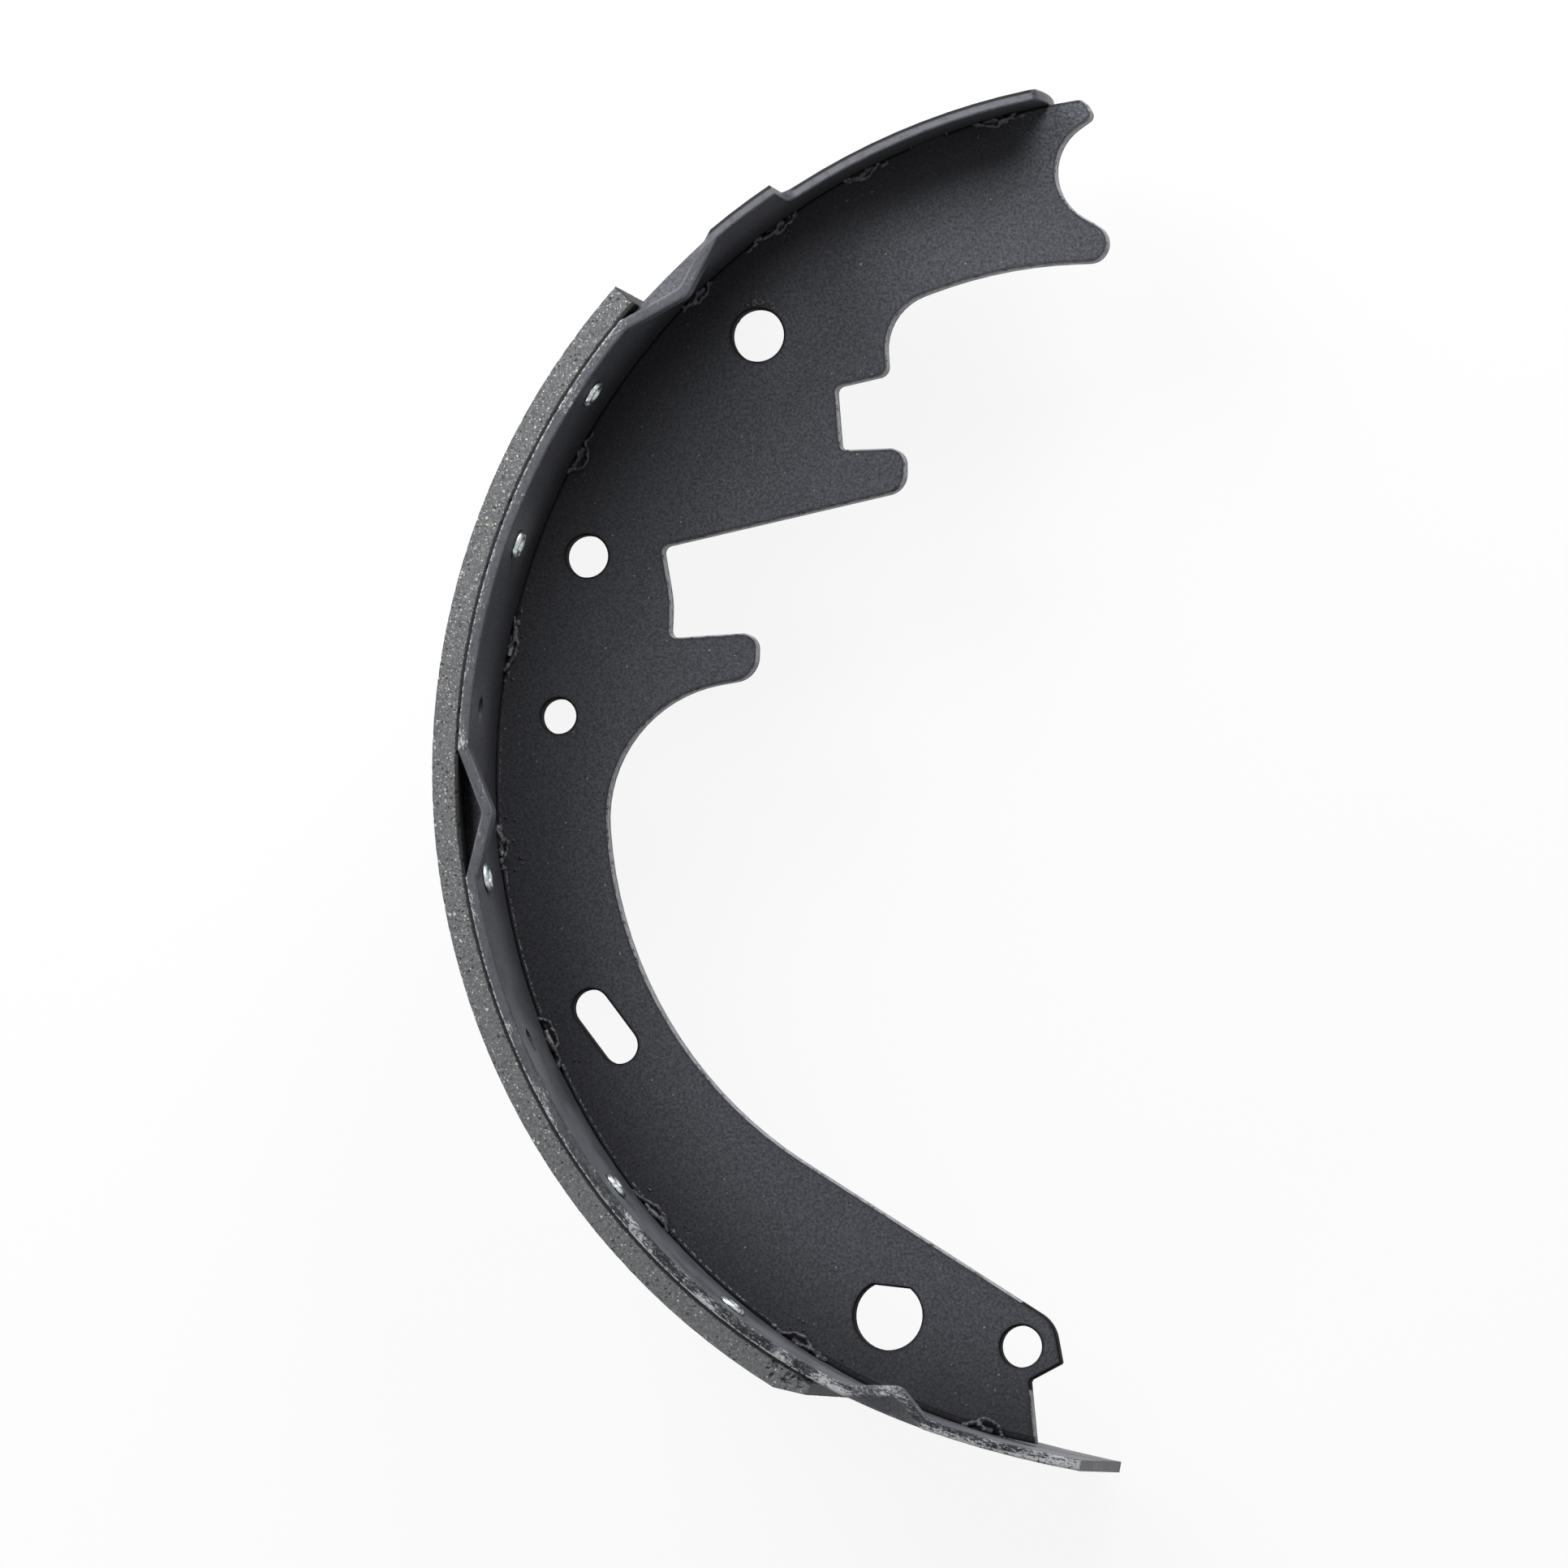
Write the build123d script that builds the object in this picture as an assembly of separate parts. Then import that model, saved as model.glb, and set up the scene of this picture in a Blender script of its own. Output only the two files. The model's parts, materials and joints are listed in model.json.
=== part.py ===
from build123d import *
import math
import os

# Drum brake shoe: a stamped web, a rolled table welded square on its outer edge, and a lining
# riveted to the table. The pieces are made about the drum's axis, which is Z, with the web's
# middle plane at Z = 0. A place on the shoe is a radius from that axis and an angle from the
# middle of the shoe, positive towards the end that bears on the anchor pin.
# All sizes are in millimetres and degrees.

# Table: the curved strip that carries the lining
table_radius = 146.0
table_thickness = 2.3
table_width = 70.5
flare_start = -70.6
flare_radius = 221.0
flare_length = 35.0
clipped_corner = 6.0
shoulder_angle = 56.8
tongue_end = 79.9
tongue_crown = 1.0
tongue_width = 31.4
tongue_root_fillet = 3.6
tongue_corner_fillet = 1.8
window_angle = 69.2
window_length = 8.6
window_width = 6.4

# Dents pressed into both edges of the table: angle, half spans up and down, depth, and how far
# the full depth and the slope behind it reach in from the edge
dents = {
    "upper": dict(angle=45.5, span_up=5.2, span_down=5.4, depth=4.6, reach=3.3, slope=4.0),
    "middle": dict(angle=-3.6, span_up=5.3, span_down=5.3, depth=4.9, reach=3.3, slope=4.0),
    "lower": dict(angle=-67.9, span_up=4.1, span_down=3.0, depth=4.4, reach=1.6, slope=3.0),
}
dent_nose_radius = 3.0
dent_lead_in = 0.6
dent_overrun = 1.35

# Lining
lining_thickness = 5.5
lining_side_margin = 0.35
lining_top_angle = 42.0
lining_toe_angle = -61.1
lining_bevel_length = 6.9
lining_bevel_depth = 2.1

# Rivets and their holes: rows are evenly pitched, two holes to a row. The locating hole lies
# between the holes of the last row.
row_first_angle = 48.0
row_pitch = 14.2
row_count = 9
rivet_rows = (1, 2, 4, 6, 7)
hole_edge_distance = 11.05
rivet_shank_radius = 2.4
rivet_hole_clearance = 0.1
rivet_head_radius = 4.2
rivet_head_thickness = 1.2
rivet_head_taper = 0.3
rivet_head_clearance = 0.3
rivet_seat_depth = 3.3
rivet_tail_radius = 3.2
rivet_tail_height = 1.1
rivet_tail_taper = 0.6
rivet_bore_radius = 1.5
rivet_bore_taper = 0.4
rivet_bore_depth = 3.6
locating_hole_radius = 5.5

# Web
web_thickness = 4.5
web_edge_bevel = 0.3
web_tip_offset = 3.6
web_tip_fillet = 2.2
tab_clearance = 0.6
tab_height = 1.6

# Anchor pin seat at the upper end of the web, open towards the pin
anchor_pin_radius = 11.1
anchor_inset = 15.6
anchor_angle = 84.27
anchor_flank_up = 35.0
anchor_flank_down = -30.5

# Corners of the web's inner edge, from the anchor end to the adjuster end, in groups that keep
# their size. A group has a base angle on the web's outer edge, and each corner in it has a depth
# in from there, a distance along the edge towards the anchor end, and a corner radius.
anchor_nose = (3.9, -1.8, 1.6)
anchor_horn = (35.6, 8.5, 4.2)
long_bay = (71.49, [(30.3, 0, 97.0)])
strut_notch = (51.0, [
    (29.0, 14.9, 11.8),
    (40.2, 7.0, 2.3),
    (35.1, -3.2, 1.6),
    (46.2, -10.8, 1.4),
    (54.6, 0.1, 3.2),
    (61.5, -5.6, 4.5),
])
lever_notch = (19.0, [
    (25.7, 11.1, 1.6),
    (31.3, 0.9, 25.0),
    (33.6, -6.7, 1.6),
    (51.0, 0.4, 3.1),
    (53.9, -8.7, 5.5),
])
finger_bay = (7.24, [(21.4, 0, 28.5)])
waist = (-25.97, [(14.2, 0, 91.0)])
adjuster_nose = (-78.6, [(25.9, 1.3, 7.5), (17.7, -2.0, 0.6), (12.9, 3.9, 0.9)])
least_straight = 0.01

# Holes through the web: depth in from the outer edge, angle, radius
web_holes = {
    "spring": (15.6, 46.90, 5.6),
    "lever_pivot": (11.0, 20.76, 4.5),
    "pawl": (12.9, 5.79, 3.75),
    "adjuster_spring": (19.3, -75.34, 4.4),
}
hold_down = (12.6, -23.65)
hold_down_width = 7.8
hold_down_length = 17.8
hold_down_tilt = 13.3
cable_guide = (15.2, -62.30, 7.3)
cable_guide_flat = 6.1
cable_guide_turn = 21.1

# Resistance welds along the joint of web and table: each leaves a bead of squeezed out metal in
# the corner on both sides of the web
weld_angles_tongue = (75.0, 63.2, 54.3)
weld_first_angle = 45.5
weld_pitch = 17.07
weld_count = 8
weld_bead_length = 4.4
weld_bead_radius = 1.2

# Sizes that follow from those above
web_radius = table_radius - table_thickness
lining_radius = table_radius + lining_thickness
half_width = table_width / 2
web_tip_angle = anchor_angle - math.degrees(web_tip_offset / web_radius)
web_foot_angle = adjuster_nose[0]
lining_width = table_width - 2 * lining_side_margin
hole_spacing = table_width - 2 * hole_edge_distance
hole_radius = rivet_shank_radius + rivet_hole_clearance
row_angles = [row_first_angle - row_pitch * i for i in range(row_count)]
weld_angles = list(weld_angles_tongue)
weld_angles += [weld_first_angle - weld_pitch * i for i in range(weld_count)]


def at(radius, angle, z=0.0):
    """Point at a radius and angle about the drum's axis."""
    turn = math.radians(angle)
    return Vector(-radius * math.cos(turn), radius * math.sin(turn), z)


def inset(depth, angle):
    """Point at a depth in from the web's outer edge."""
    return at(web_radius - depth, angle)


def beside(angle, depth, along):
    """Point at a depth in from the web's outer edge and a distance along it, measured straight
    from the edge's place at the angle."""
    return at(web_radius - depth, angle) + at(along, angle + 90)


def outward(angle, radius, z=0.0):
    """Plane at a radius whose normal points away from the drum's axis, its X axis along Z."""
    return Plane(origin=at(radius, angle, z), x_dir=(0, 0, 1), z_dir=at(1, angle))


def arc(radius, start, end):
    """Arc about the drum's axis."""
    return ThreePointArc(at(radius, start), at(radius, (start + end) / 2), at(radius, end))


def sector(angle_a, angle_b):
    """Wedge of the plane between two angles, reaching past every piece."""
    far = 3 * lining_radius
    return make_face(Polyline((0, 0), at(far, angle_a), at(far, angle_b), close=True))


def band(inner, outer, start, end):
    """Flat ring sector between two radii and two angles."""
    edges = [
        arc(outer, start, end),
        Line(at(outer, end), at(inner, end)),
        arc(inner, end, start),
        Line(at(inner, start), at(outer, start)),
    ]
    return make_face(edges)


def table_strip():
    """Section of the table seen along the drum's axis: a round band and its flared lower end.

    The band runs a little past the tongue's end, which is trimmed to a crown later."""
    band_end = tongue_end + math.degrees(tongue_crown / table_radius)
    centre = at(table_radius - flare_radius, flare_start)
    sweep = math.degrees(flare_length / flare_radius)

    def flared(radius, share):
        return centre + at(radius, flare_start - share * sweep)

    inner_flare = flare_radius - table_thickness
    edges = [
        arc(table_radius, band_end, flare_start),
        ThreePointArc(flared(flare_radius, 0), flared(flare_radius, 0.5), flared(flare_radius, 1)),
        Line(flared(flare_radius, 1), flared(inner_flare, 1)),
        ThreePointArc(flared(inner_flare, 1), flared(inner_flare, 0.5), flared(inner_flare, 0)),
        arc(web_radius, flare_start, band_end),
        Line(at(web_radius, band_end), at(table_radius, band_end)),
    ]
    return make_face(edges), flared(flare_radius, 1)


def dent_tool(dent, radius, inboard_shift, edge):
    """Solid that presses one dent: a rounded vee at the table's edge that rises inboard.

    The vee's flanks start at the given radius and run on past it. The shift moves the inboard
    slope, and edge is how high the full vee runs."""
    angle = dent["angle"]
    cap = radius + 2 * dent["depth"]
    tip = at(radius - dent["depth"], angle)
    top = tip + (at(radius, angle + dent["span_up"]) - tip) * dent_overrun
    low = tip + (at(radius, angle - dent["span_down"]) - tip) * dent_overrun
    flanks = FilletPolyline(top, tip, low, radius=dent_nose_radius).edges()
    joints = [flanks[0] @ 0, flanks[0] @ 1, flanks[2] @ 0, flanks[2] @ 1]
    lid = [
        at(cap, angle - dent["span_down"] * dent_overrun),
        at(cap, angle + dent["span_up"] * dent_overrun),
    ]

    vee = Wire([*flanks, *Polyline(joints[3], *lid, joints[0]).edges()])
    marks = [math.degrees(math.atan2(joint.Y, -joint.X)) for joint in joints]
    level = radius + dent_lead_in
    steps = [arc(level, start, end).edge() for start, end in zip(marks, marks[1:])]
    plain = Wire([*steps, *Polyline(at(level, marks[3]), *lid, at(level, marks[0])).edges()])

    full_depth = half_width - dent["reach"] - inboard_shift
    foot = Pos(0, 0, full_depth - dent["slope"])
    shelf = Pos(0, 0, full_depth)
    slope = loft([foot * Face(plain), shelf * Face(vee)], ruled=True)
    straight = extrude(shelf * Face(vee), amount=edge - full_depth, dir=(0, 0, 1))
    return slope + straight


def press_dent(body, dent):
    """Press one dent into both edges of the table. A bulge inside and a hollow outside keep the
    sheet's thickness on the flanks and on the inboard slope."""
    span = math.radians((dent["span_up"] + dent["span_down"]) / 2) * table_radius
    flank_turn = math.atan2(dent["depth"], span)
    slope_turn = math.atan2(dent["depth"], dent["slope"])
    wall = table_thickness / math.cos(flank_turn)
    inboard = table_thickness * math.tan(slope_turn / 2)
    mid_sheet = Cylinder(table_radius - table_thickness / 2, table_width)
    bulge = dent_tool(dent, table_radius - wall, inboard, half_width) & mid_sheet
    hollow = dent_tool(dent, table_radius, 0, half_width + table_thickness)
    body = body + bulge + mirror(bulge, about=Plane.XY)
    return body - hollow - mirror(hollow, about=Plane.XY)


def tongue_trim():
    """What is cut off past the tongue's end, which bows outwards by the crown."""
    side = tongue_width / 2
    bow = ThreePointArc((-side, -tongue_crown), (0, 0), (side, -tongue_crown))
    past = Polyline(bow @ 1, (side, side), (-side, side), bow @ 0)
    profile = outward(tongue_end, web_radius) * make_face([bow, past])
    return extrude(profile, amount=2 * table_thickness, both=True)


def table():
    """Rolled strip with its tongue, window, holes and edge dents."""
    strip, flare_tip = table_strip()
    body = extrude(strip, amount=half_width, both=True)

    # the tongue: the strip is cut away on both sides of it and past its crowned end
    waste = extrude(sector(shoulder_angle, 2 * tongue_end - shoulder_angle), amount=table_width)
    waste = Pos(0, 0, tongue_width / 2) * waste
    body = body - waste - mirror(waste, about=Plane.XY) - tongue_trim()
    middle = web_radius + table_thickness / 2
    for angle, size in ((shoulder_angle, tongue_root_fillet), (tongue_end, tongue_corner_fillet)):
        places = [at(middle, angle, side * tongue_width / 2) for side in (1, -1)]
        corners = [body.edges().sort_by_distance(place)[0] for place in places]
        body = fillet(corners, size)

    # the lower end has one corner clipped off
    around = body.edges().sort_by_distance(flare_tip - Vector(0, 0, half_width))[:3]
    corner = [edge for edge in around if edge.length < 2 * table_thickness]
    body = chamfer(corner[0], clipped_corner)

    for dent in dents.values():
        body = press_dent(body, dent)

    # rivet holes, the locating hole, the window for the web's tab
    drill = 3 * table_thickness
    for angle in row_angles:
        for side in (1, -1):
            hole = outward(angle, table_radius, side * hole_spacing / 2) * Cylinder(hole_radius, drill)
            body = body - hole
    locating = outward(row_angles[-1], table_radius) * Cylinder(locating_hole_radius, drill)
    window = outward(window_angle, table_radius) * Box(window_width, window_length, drill)
    body = body - locating - window
    return body


def anchor_corner():
    """Point where the two flanks of the anchor seat would meet behind the pin's arc."""
    half = math.radians((anchor_flank_up - anchor_flank_down) / 2)
    bisector = math.radians((anchor_flank_up + anchor_flank_down) / 2)
    back = anchor_pin_radius / math.sin(half)
    return inset(anchor_inset, anchor_angle) - Vector(math.cos(bisector), math.sin(bisector)) * back


def fitted_radii(corners, radii):
    """Radii at the corners between the first and the last point. Where a run is too short for
    the arcs at both its ends, the longer one ends where the shorter one starts."""
    radii = list(radii)
    slopes = []
    for before, corner, after in zip(corners, corners[1:], corners[2:]):
        turn = (before - corner).get_angle(after - corner)
        slopes.append(math.tan(math.radians(turn / 2)))
    for i in range(len(radii) - 1):
        run = (corners[i + 2] - corners[i + 1]).length
        used = [radii[i] / slopes[i], radii[i + 1] / slopes[i + 1]]
        excess = sum(used) - (run - least_straight)
        if excess > 0:
            longer = i + used.index(max(used))
            radii[longer] -= excess * slopes[longer]
    return radii


def web_outline():
    """The web seen along the drum's axis."""
    start = at(web_radius, web_tip_angle)
    end = at(web_radius, web_foot_angle)
    nose = beside(anchor_angle, *anchor_nose[:2])
    horn = beside(anchor_angle, *anchor_horn[:2])
    corners = [nose, anchor_corner(), horn]
    radii = [anchor_nose[2], anchor_pin_radius, anchor_horn[2]]
    for base, group in (long_bay, strut_notch, lever_notch, finger_bay, waist, adjuster_nose):
        for depth, along, radius in group:
            corners.append(beside(base, depth, along))
            radii.append(radius)
    points = [start, *corners, end]
    inner = FilletPolyline(*points, radius=fitted_radii(points, radii))
    face = make_face([*inner.edges(), arc(web_radius, web_foot_angle, web_tip_angle).edge()])
    tip = face.vertices().sort_by_distance(start)[0]
    return fillet(tip, web_tip_fillet)


def hold_down_slot():
    """Slot in the web, slightly turned from the web's own curve."""
    place = Plane(origin=inset(*hold_down), x_dir=at(1, hold_down[1] - 90 - hold_down_tilt))
    return place * SlotOverall(hold_down_length, hold_down_width)


def cable_guide_hole():
    """Round hole with a flat on the side that faces the hub."""
    depth, angle, radius = cable_guide
    place = Plane(origin=inset(depth, angle), x_dir=-at(1, angle - cable_guide_turn))
    keep = Rectangle(2 * radius + cable_guide_flat, 2 * radius)
    keep = keep.moved(Pos(cable_guide_flat / 2 - radius, 0))
    return place * (Circle(radius) & keep)


def web():
    """Flat stamping with bevelled edges, its holes, the tab in the tongue's window and the welds."""
    face = web_outline()
    for depth, angle, radius in web_holes.values():
        face = face - Pos(*inset(depth, angle)) * Circle(radius)
    face = face - hold_down_slot() - cable_guide_hole()
    body = extrude(face, amount=web_thickness / 2, both=True)
    body = chamfer(body.faces().filter_by(Axis.Z).edges(), web_edge_bevel)

    tab_length = window_length - 2 * tab_clearance
    tab = outward(window_angle, web_radius) * Box(web_thickness, tab_length, 2 * tab_height)
    inside_table = Cylinder(web_radius, table_width)
    beads = []
    for angle in weld_angles:
        for side in (1, -1):
            corner = Plane(origin=at(web_radius, angle, side * web_thickness / 2), z_dir=at(1, angle + 90))
            beads.append(corner * Cylinder(weld_bead_radius, weld_bead_length) & inside_table)
    return body + tab + beads


def lining():
    """Friction block with counterbored holes for the rivets."""
    face = band(table_radius, lining_radius, lining_top_angle, lining_toe_angle)
    toe_turn = math.degrees(lining_bevel_length / lining_radius)
    bevel = make_face(Polyline(
        at(lining_radius, lining_toe_angle + toe_turn),
        at(lining_radius - lining_bevel_depth, lining_toe_angle),
        at(lining_radius + lining_bevel_depth, lining_toe_angle),
        close=True))
    body = extrude(face - bevel, amount=lining_width / 2, both=True)
    shelf = lining_radius - rivet_seat_depth
    for row in rivet_rows:
        for side in (1, -1):
            seat = outward(row_angles[row], shelf, side * hole_spacing / 2)
            sink = Cylinder(rivet_head_radius + rivet_head_clearance, 2 * rivet_seat_depth,
                            align=(Align.CENTER, Align.CENTER, Align.MIN))
            through = Cylinder(hole_radius, 4 * lining_thickness)
            body = body - seat * sink - seat * through
    return body


def rivet(angle, side):
    """Semi-tubular rivet: a head on the lining's shelf and a tail rolled over inside the table."""
    shelf = lining_radius - rivet_seat_depth
    tail_seat = math.sqrt(web_radius ** 2 - rivet_tail_radius ** 2)
    grip = shelf - tail_seat
    tail_end = -grip - rivet_tail_height
    half = make_face(Polyline(
        (0, rivet_head_thickness),
        (rivet_head_radius - rivet_head_taper, rivet_head_thickness),
        (rivet_head_radius, 0),
        (rivet_shank_radius, 0),
        (rivet_shank_radius, -grip),
        (rivet_tail_radius, -grip),
        (rivet_tail_radius - rivet_tail_taper, tail_end),
        (rivet_bore_radius + rivet_bore_taper, tail_end),
        (rivet_bore_radius, tail_end + rivet_bore_depth),
        (0, tail_end + rivet_bore_depth),
        close=True))
    turned = revolve(Plane.XZ * half, axis=Axis.Z)
    return outward(angle, shelf, side * hole_spacing / 2) * turned


pieces = {"table": table(), "web": web(), "lining": lining()}
for number, row in enumerate(rivet_rows, start=1):
    for name, side in (("near", 1), ("far", -1)):
        pieces[f"rivet_{name}_{number}"] = rivet(row_angles[row], side)

# The finished shoe lies on one edge of its table, with its middle over the origin
box = Compound(list(pieces.values())).bounding_box()
rest = Pos(-box.center().X, -box.center().Y, -box.min.Z)
os.makedirs("parts", exist_ok=True)
for name, piece in pieces.items():
    export_step(rest * piece, f"parts/{name}.step")
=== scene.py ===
import json
import math
import random

import bmesh
import bpy
from mathutils import Matrix, Vector, noise


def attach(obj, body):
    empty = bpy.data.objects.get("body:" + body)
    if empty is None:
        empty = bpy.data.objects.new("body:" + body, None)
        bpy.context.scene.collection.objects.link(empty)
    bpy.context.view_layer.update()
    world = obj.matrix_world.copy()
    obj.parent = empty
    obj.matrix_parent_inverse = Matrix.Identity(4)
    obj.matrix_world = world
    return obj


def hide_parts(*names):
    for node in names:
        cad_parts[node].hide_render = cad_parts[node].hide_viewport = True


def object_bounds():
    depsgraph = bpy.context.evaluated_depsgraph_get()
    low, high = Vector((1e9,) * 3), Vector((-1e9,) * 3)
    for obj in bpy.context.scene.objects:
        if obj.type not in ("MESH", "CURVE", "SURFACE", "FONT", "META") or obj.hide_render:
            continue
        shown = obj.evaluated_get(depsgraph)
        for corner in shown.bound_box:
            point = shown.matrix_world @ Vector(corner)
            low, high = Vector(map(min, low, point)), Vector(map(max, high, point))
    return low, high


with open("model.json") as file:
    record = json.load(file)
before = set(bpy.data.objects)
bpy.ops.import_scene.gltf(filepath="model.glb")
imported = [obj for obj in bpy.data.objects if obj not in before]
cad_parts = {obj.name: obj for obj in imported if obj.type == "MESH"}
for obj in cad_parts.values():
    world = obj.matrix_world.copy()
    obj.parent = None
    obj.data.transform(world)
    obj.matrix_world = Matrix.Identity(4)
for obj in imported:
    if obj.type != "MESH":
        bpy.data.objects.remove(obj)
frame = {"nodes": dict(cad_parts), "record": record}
cad_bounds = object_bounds()

# Table of the shoe: a strip of 2.3 mm steel, rolled to the drum's curve, with dents pressed
# into both edges that slide on the backing plate's pads. It was dipped in thin black paint
# with the web on it. The sheared edges show grey steel, and the outer face has paint runs.
millimetre = 0.001
lining_radius = 0.1515
table_radius = 0.1460
web_radius = 0.1437
mounts = {mount["name"]: mount for mount in frame["record"]["mounts"]}
drum_axis = (Vector(mounts["lining_face"]["pos_m"])
             - lining_radius * Vector(mounts["lining_face"]["axis"]))


def around(radius, angle, height=0.0):
    """Point at a radius and an angle about the drum's axis, and a height over the web's middle.
    The angle is in degrees from the middle of the shoe, positive towards the anchor pin."""
    turn = math.radians(angle)
    return drum_axis + Vector((-radius * math.cos(turn), radius * math.sin(turn), height))


def put(tree, kind, inputs=None, **settings):
    """A shader node with its settings made and its inputs given a value or a link."""
    made = tree.nodes.new(kind)
    for name, value in settings.items():
        setattr(made, name, value)
    for key, value in (inputs or {}).items():
        if isinstance(value, bpy.types.NodeSocket):
            tree.links.new(value, made.inputs[key])
        else:
            made.inputs[key].default_value = value
    return made


def reckon(tree, operation, *terms):
    """Result of one sum on numbers that change over the surface."""
    return put(tree, "ShaderNodeMath", dict(enumerate(terms)), operation=operation).outputs[0]


def overlap(tree, *masks):
    """Mask of where all the given masks meet, dimmed by the plain shares among them."""
    total = masks[0]
    for mask in masks[1:]:
        total = reckon(tree, "MULTIPLY", total, mask)
    return total


def turned(tree, normal, direction):
    """How far a normal turns towards a direction: 1 along it, 0 across it, -1 against it."""
    made = put(tree, "ShaderNodeVectorMath", {0: normal, 1: direction}, operation="DOT_PRODUCT")
    return made.outputs["Value"]


def between(tree, value, low, high):
    """Mask that rises smoothly from 0 at one value to 1 at the other."""
    made = put(tree, "ShaderNodeMapRange", {"Value": value, "From Min": low, "From Max": high},
               interpolation_type="SMOOTHSTEP")
    return made.outputs["Result"]


def cloud(tree, point, scale, detail=3.0, roughness=0.5):
    """Noise from 0 to 1 that follows a point given in millimetres."""
    return put(tree, "ShaderNodeTexNoise", {
        "Vector": point, "Scale": scale, "Detail": detail, "Roughness": roughness}).outputs[0]


def tint(tree, mask, under, over):
    """Colour that turns from one to the other where the mask is 1."""
    made = put(tree, "ShaderNodeMix", {"Factor": mask}, data_type="RGBA")
    sides = [socket for socket in made.inputs if socket.type == "RGBA"]
    for socket, colour in zip(sides, (under, over)):
        if isinstance(colour, bpy.types.NodeSocket):
            tree.links.new(colour, socket)
        else:
            socket.default_value = (*colour, 1)
    return [socket for socket in made.outputs if socket.type == "RGBA"][0]


def effect(name, takes, gives):
    """Empty node group with its named inputs and outputs."""
    tree = bpy.data.node_groups.new(name, "ShaderNodeTree")
    for label, value in takes.items():
        socket = tree.interface.new_socket(label, in_out="INPUT", socket_type="NodeSocketFloat")
        socket.default_value = value
    for label, kind in gives.items():
        tree.interface.new_socket(label, in_out="OUTPUT", socket_type="NodeSocket" + kind)
    return tree, tree.nodes.new("NodeGroupInput").outputs, tree.nodes.new("NodeGroupOutput").inputs


def use(tree, group, **inputs):
    """Outputs of an effect that is placed in a material with its own values."""
    made = tree.nodes.new("ShaderNodeGroup")
    made.node_tree = group
    for key, value in inputs.items():
        socket = made.inputs[key.replace("_", " ")]
        if isinstance(value, bpy.types.NodeSocket):
            tree.links.new(value, socket)
        else:
            socket.default_value = value
    return made.outputs


def place_about_drum():
    """Where a point lies about the drum's axis: radius, height and the distance round the table
    in millimetres, angle in degrees, the point itself in millimetres for grain to follow, and
    the direction away from the axis."""
    tree, _, gives = effect("place about drum", {}, {
        "Radius": "Float", "Angle": "Float", "Height": "Float", "Along": "Float",
        "Point": "Vector", "Outward": "Vector"})
    here = put(tree, "ShaderNodeTexCoord").outputs["Object"]
    moved = put(tree, "ShaderNodeVectorMath", {0: here, 1: drum_axis}, operation="SUBTRACT")
    point = put(tree, "ShaderNodeVectorMath", {0: moved.outputs[0], "Scale": 1 / millimetre},
                operation="SCALE").outputs[0]
    parts = put(tree, "ShaderNodeSeparateXYZ", {0: point}).outputs
    flat = put(tree, "ShaderNodeCombineXYZ", {0: parts[0], 1: parts[1]})
    radius = put(tree, "ShaderNodeVectorMath", {0: flat.outputs[0]}, operation="LENGTH")
    turn = reckon(tree, "ARCTAN2", parts[1], reckon(tree, "MULTIPLY", parts[0], -1.0))
    along = reckon(tree, "MULTIPLY", turn, table_radius / millimetre)
    tree.links.new(radius.outputs["Value"], gives["Radius"])
    tree.links.new(reckon(tree, "DEGREES", turn), gives["Angle"])
    tree.links.new(parts[2], gives["Height"])
    tree.links.new(along, gives["Along"])
    tree.links.new(point, gives["Point"])
    outward = put(tree, "ShaderNodeVectorMath", {0: flat.outputs[0]}, operation="NORMALIZE")
    tree.links.new(outward.outputs[0], gives["Outward"])
    return tree


drum_place = place_about_drum()


def edge_finder():
    """Mask of the outer edges within a width in metres, and a normal that rounds them."""
    tree, takes, gives = effect("worn edge", {"Width": 0.0004}, {
        "Edge": "Float", "Normal": "Vector"})
    rounded = put(tree, "ShaderNodeBevel", {"Radius": takes["Width"]}, samples=6).outputs[0]
    flat = put(tree, "ShaderNodeNewGeometry").outputs["Normal"]
    tree.links.new(between(tree, turned(tree, rounded, flat), 0.99, 0.85), gives["Edge"])
    tree.links.new(rounded, gives["Normal"])
    return tree


worn_edge = edge_finder()


def scattered_specks():
    """Mask of small round specks: how many to a millimetre, the share shown, and their size."""
    tree, takes, gives = effect("scattered specks", {
        "Per mm": 1.0, "Share": 0.1, "Size": 0.3, "Seed": 0.0}, {
        "Mask": "Float", "Tone": "Float"})
    point = use(tree, drum_place)["Point"]
    moved = put(tree, "ShaderNodeVectorMath", {0: point, 1: takes["Seed"]}, operation="ADD")
    ragged = put(tree, "ShaderNodeTexNoise", {"Vector": point, "Scale": 2.5, "Detail": 1.0})
    ragged = put(tree, "ShaderNodeVectorMath", {
        0: ragged.outputs["Color"], 1: (0.35, 0.35, 0.35), 2: moved.outputs[0]},
        operation="MULTIPLY_ADD")
    cells = put(tree, "ShaderNodeTexVoronoi", {
        "Vector": ragged.outputs[0], "Scale": takes["Per mm"]}, feature="F1").outputs
    tones = put(tree, "ShaderNodeSeparateColor", {0: cells["Color"]}).outputs
    shown = reckon(tree, "LESS_THAN", tones[0], takes["Share"])
    reach = reckon(tree, "MULTIPLY", takes["Size"], reckon(tree, "ADD", tones[1], 0.5))
    inside = between(tree, reckon(tree, "DIVIDE", cells["Distance"], reach), 1.0, 0.6)
    tree.links.new(reckon(tree, "MULTIPLY", shown, inside), gives["Mask"])
    tree.links.new(tones[2], gives["Tone"])
    return tree


speck_scatter = scattered_specks()


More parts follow.
